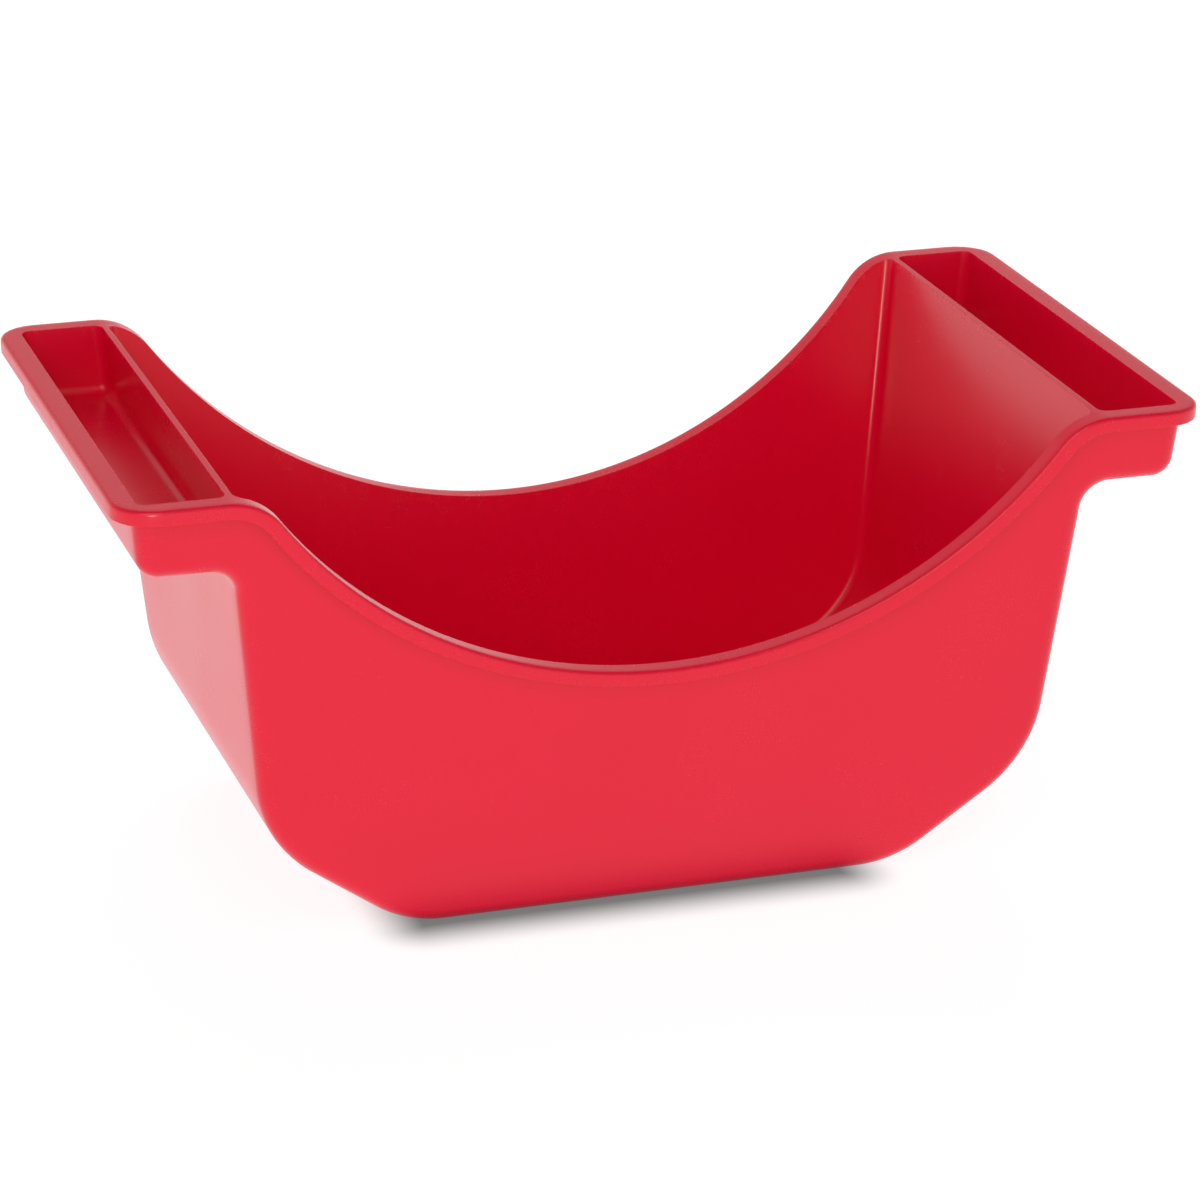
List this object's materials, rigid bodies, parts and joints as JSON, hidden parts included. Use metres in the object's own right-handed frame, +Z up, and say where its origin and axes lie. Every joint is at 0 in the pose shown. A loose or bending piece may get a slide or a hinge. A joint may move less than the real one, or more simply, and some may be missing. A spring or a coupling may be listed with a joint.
{
  "type": "book tub",
  "caption": "Red moulded plastic book tub with scooped long sides, sloping bottom ends, a shallow tray pocket at each end and a turned-down rim, made to hang in a book cart.",
  "frame": {"origin": "centre of the underside of the base, on the surface that the tub stands on", "axes": "+Z up, +X along the tub's length towards the right-hand pocket, -Y towards the viewer"},
  "size_m": [0.4, 0.2156, 0.1755],
  "materials": {
    "tub_plastic": "satin moulded polypropylene, self-coloured red"
  },
  "bodies": {
    "root": {"back_rim": "tub_plastic", "back_wall": "tub_plastic", "base": "tub_plastic", "front_rim": "tub_plastic", "front_wall": "tub_plastic", "left_divider": "tub_plastic", "left_end_wall": "tub_plastic", "left_pocket": "tub_plastic", "left_ramp": "tub_plastic", "left_rim": "tub_plastic", "right_divider": "tub_plastic", "right_end_wall": "tub_plastic", "right_pocket": "tub_plastic", "right_ramp": "tub_plastic", "right_rim": "tub_plastic"}
  },
  "joints": []
}
